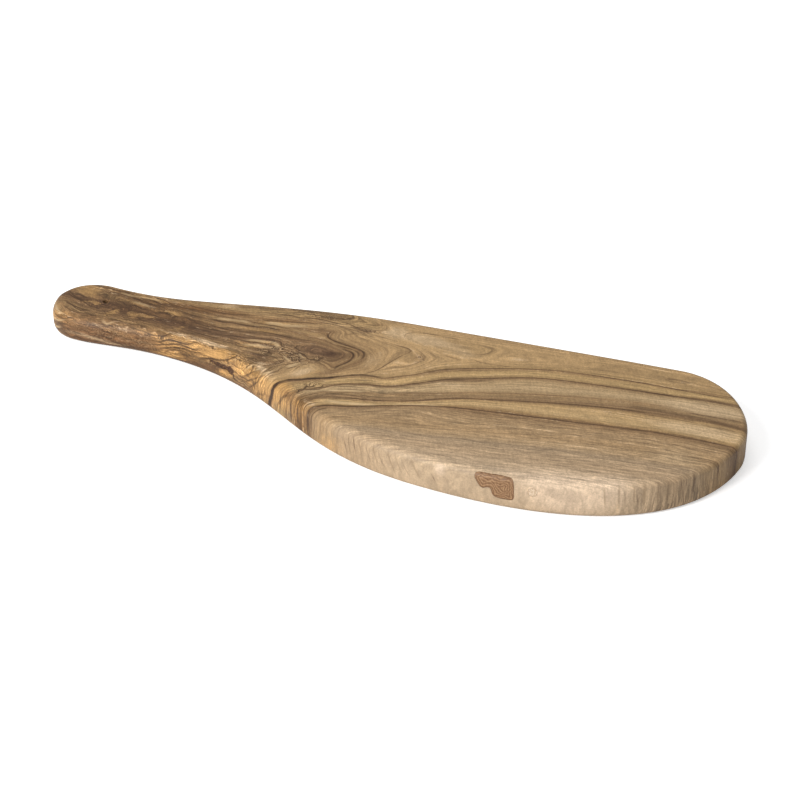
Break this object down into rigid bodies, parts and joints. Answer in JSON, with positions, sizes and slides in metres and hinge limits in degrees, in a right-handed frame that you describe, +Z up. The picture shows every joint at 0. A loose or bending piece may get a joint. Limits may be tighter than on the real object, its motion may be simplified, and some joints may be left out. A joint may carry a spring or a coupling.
{
  "type": "serving board",
  "caption": "Paddle-shaped wooden serving board with a wide rounded blade, a narrower rounded handle, a hanging hole and softly rounded edges.",
  "frame": {"origin": "middle of the board's footprint, on the surface that it lies on", "axes": "+X from the handle's end towards the blade's nose, +Y towards the far, nearly straight edge, +Z up out of the serving face"},
  "size_m": [0.4, 0.1459, 0.018],
  "materials": {
    "olive_wood": "oiled satin",
    "knot_wood": "oiled satin",
    "pale_knot_wood": "oiled satin",
    "bark": "rough"
  },
  "bodies": {
    "root": {"board": "olive_wood", "edge_knot": "knot_wood", "pin_knot": "pale_knot_wood", "bark_seam": "bark"}
  },
  "joints": []
}
